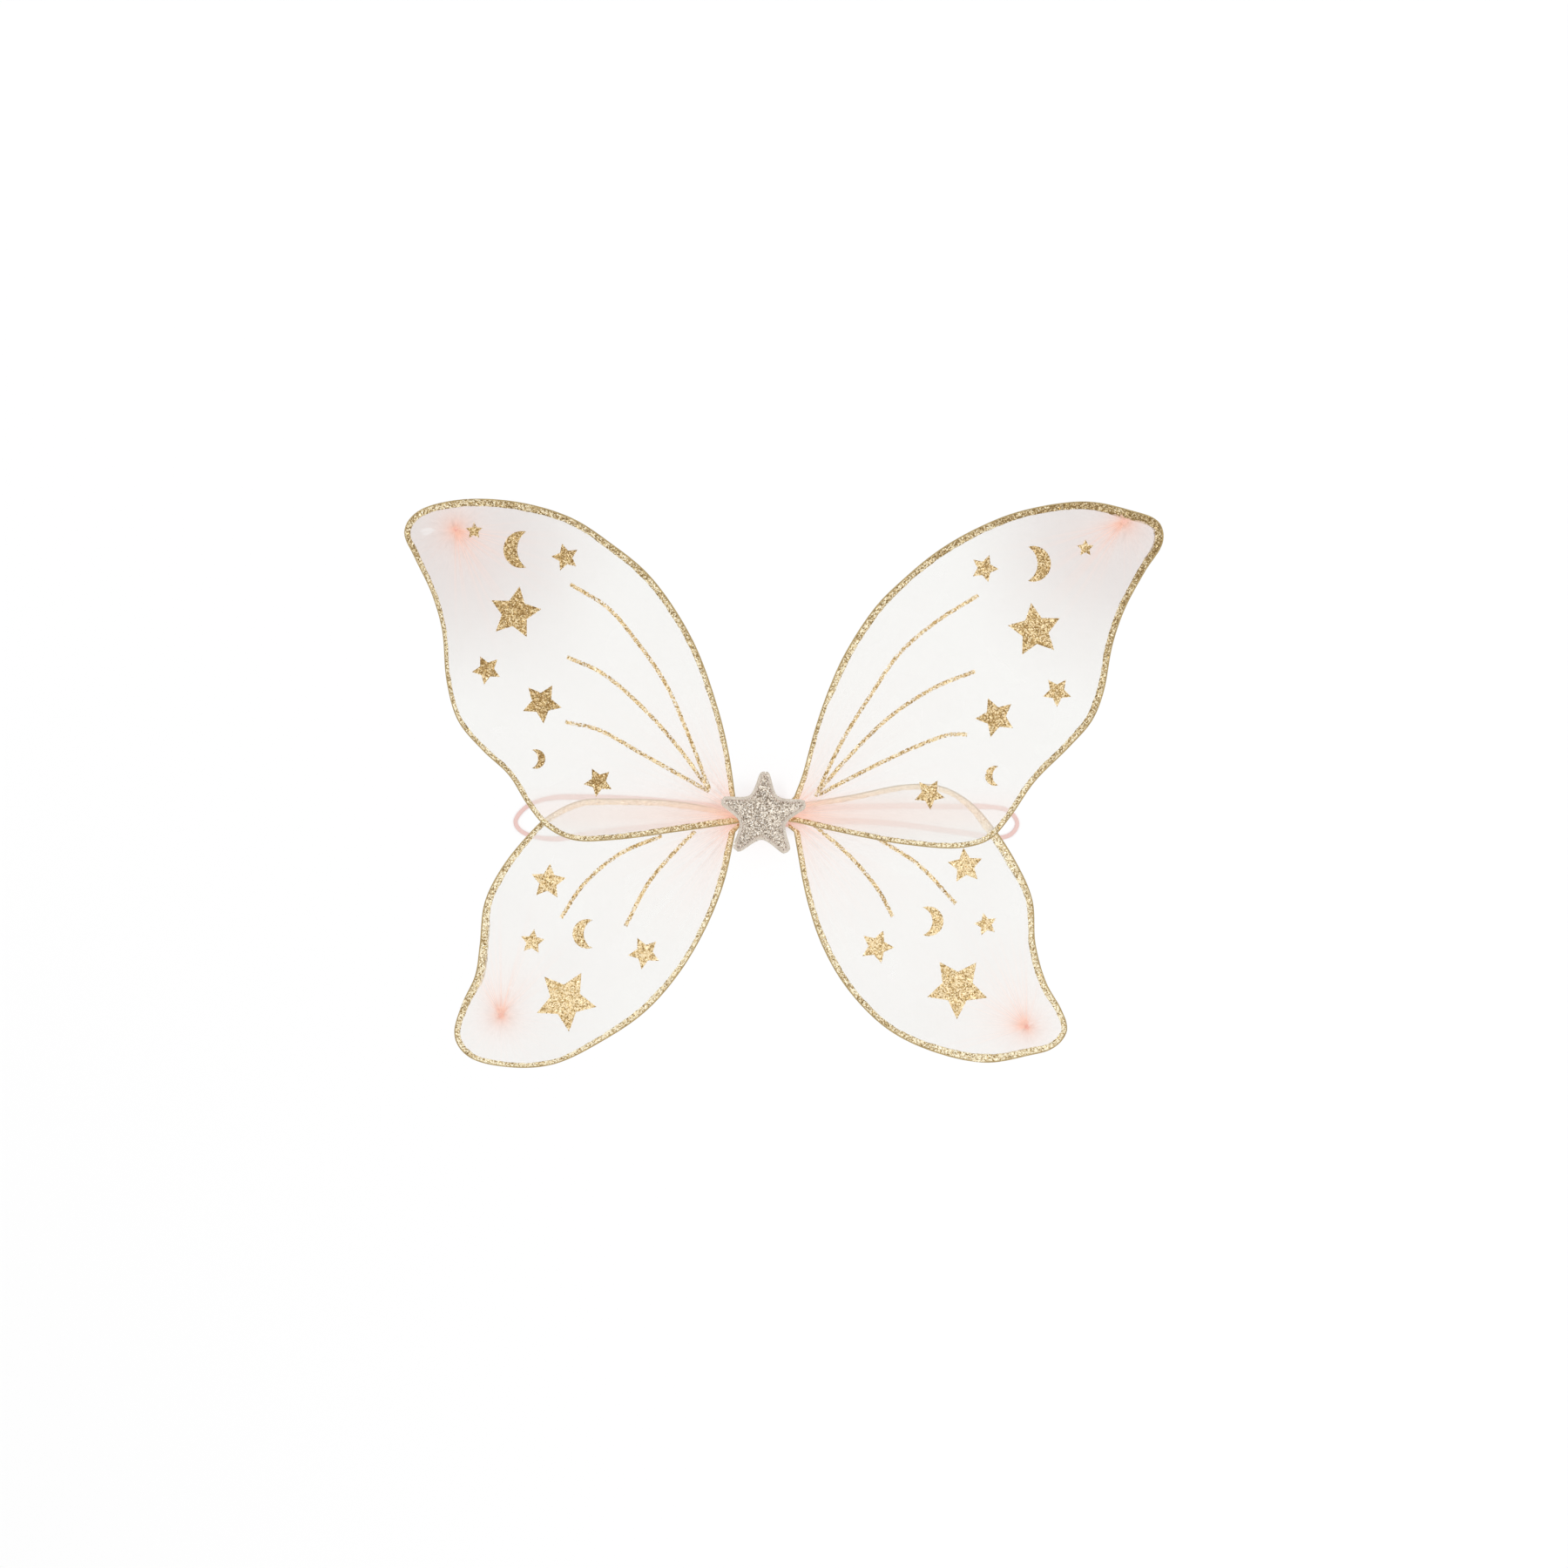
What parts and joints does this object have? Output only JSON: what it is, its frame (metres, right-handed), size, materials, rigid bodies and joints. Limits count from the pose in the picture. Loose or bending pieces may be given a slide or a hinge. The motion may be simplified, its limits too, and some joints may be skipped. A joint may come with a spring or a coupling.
{
  "type": "fairy wings",
  "caption": "Dress-up fairy wings: wire-framed sheer wings with glitter edging, stars and veins, joined at a padded star, with elastic arm loops on the wearer's side.",
  "frame": {"origin": "under the star's centre, on the back pad's resting face", "axes": "+Z out of the star's face, away from the wearer; +Y up the wearer's back, towards the upper wings; X across the wings"},
  "size_m": [0.4801, 0.3594, 0.0224],
  "materials": {
    "frame_wire": "satin coated wire",
    "gold_glitter": "fine glitter print",
    "sheer_nylon": "sheer knitted nylon",
    "pink_nylon": "gathered nylon",
    "champagne_glitter": "glitter fabric",
    "wadding": "soft polyester wadding",
    "thread": "sewing thread",
    "pink_felt": "felt",
    "pink_elastic": "flat knitted elastic"
  },
  "bodies": {
    "centre": {"star_face": "champagne_glitter", "star_padding": "wadding", "star_backing": "champagne_glitter", "star_welt": "champagne_glitter", "stem_bundle": "frame_wire", "centre_wrap": "pink_nylon", "binding_thread": "thread", "back_pad": "pink_felt", "elastic_anchor_left": "pink_felt", "elastic_anchor_right": "pink_felt"},
    "left_upper_wing": {"upper_left_wire_frame": "frame_wire", "upper_left_glitter_edging": "gold_glitter", "upper_left_front_veil": "sheer_nylon", "upper_left_back_veil": "sheer_nylon", "upper_left_tip_gather": "pink_nylon", "upper_left_root_gather": "pink_nylon", "upper_left_glitter_stars": "gold_glitter", "upper_left_glitter_moons": "gold_glitter", "upper_left_glitter_veins": "gold_glitter"},
    "left_lower_wing": {"lower_left_wire_frame": "frame_wire", "lower_left_glitter_edging": "gold_glitter", "lower_left_front_veil": "sheer_nylon", "lower_left_back_veil": "sheer_nylon", "lower_left_tip_gather": "pink_nylon", "lower_left_root_gather": "pink_nylon", "lower_left_glitter_stars": "gold_glitter", "lower_left_glitter_moons": "gold_glitter", "lower_left_glitter_veins": "gold_glitter"},
    "right_upper_wing": {"upper_right_wire_frame": "frame_wire", "upper_right_glitter_edging": "gold_glitter", "upper_right_front_veil": "sheer_nylon", "upper_right_back_veil": "sheer_nylon", "upper_right_tip_gather": "pink_nylon", "upper_right_root_gather": "pink_nylon", "upper_right_glitter_stars": "gold_glitter", "upper_right_glitter_moons": "gold_glitter", "upper_right_glitter_veins": "gold_glitter"},
    "right_lower_wing": {"lower_right_wire_frame": "frame_wire", "lower_right_glitter_edging": "gold_glitter", "lower_right_front_veil": "sheer_nylon", "lower_right_back_veil": "sheer_nylon", "lower_right_tip_gather": "pink_nylon", "lower_right_root_gather": "pink_nylon", "lower_right_glitter_stars": "gold_glitter", "lower_right_glitter_moons": "gold_glitter", "lower_right_glitter_veins": "gold_glitter"},
    "left_arm_loop": {"arm_elastic_left": "pink_elastic"},
    "right_arm_loop": {"arm_elastic_right": "pink_elastic"}
  },
  "joints": [
    {"name": "left_wings_lift", "type": "hinge", "parent": "centre", "child": "left_lower_wing", "pos_m": [-0.02, 0, 0.0082], "axis": [0, 1, 0], "range_deg": [0, 18]},
    {"name": "left_upper_wing_lift", "type": "hinge", "parent": "left_lower_wing", "child": "left_upper_wing", "pos_m": [-0.02, 0, 0.0082], "axis": [0, 1, 0], "range_deg": [0, 12]},
    {"name": "right_wings_lift", "type": "hinge", "parent": "centre", "child": "right_lower_wing", "pos_m": [0.021, 0, 0.0082], "axis": [0, -1, 0], "range_deg": [0, 18]},
    {"name": "right_upper_wing_lift", "type": "hinge", "parent": "right_lower_wing", "child": "right_upper_wing", "pos_m": [0.021, 0, 0.0082], "axis": [0, -1, 0], "range_deg": [0, 12]},
    {"name": "left_arm_loop_swing", "type": "hinge", "parent": "centre", "child": "left_arm_loop", "pos_m": [-0.0178, 0, 0.00045], "axis": [0, -1, 0], "range_deg": [0, 80]},
    {"name": "right_arm_loop_swing", "type": "hinge", "parent": "centre", "child": "right_arm_loop", "pos_m": [0.0188, 0, 0.00045], "axis": [0, 1, 0], "range_deg": [0, 80]}
  ]
}
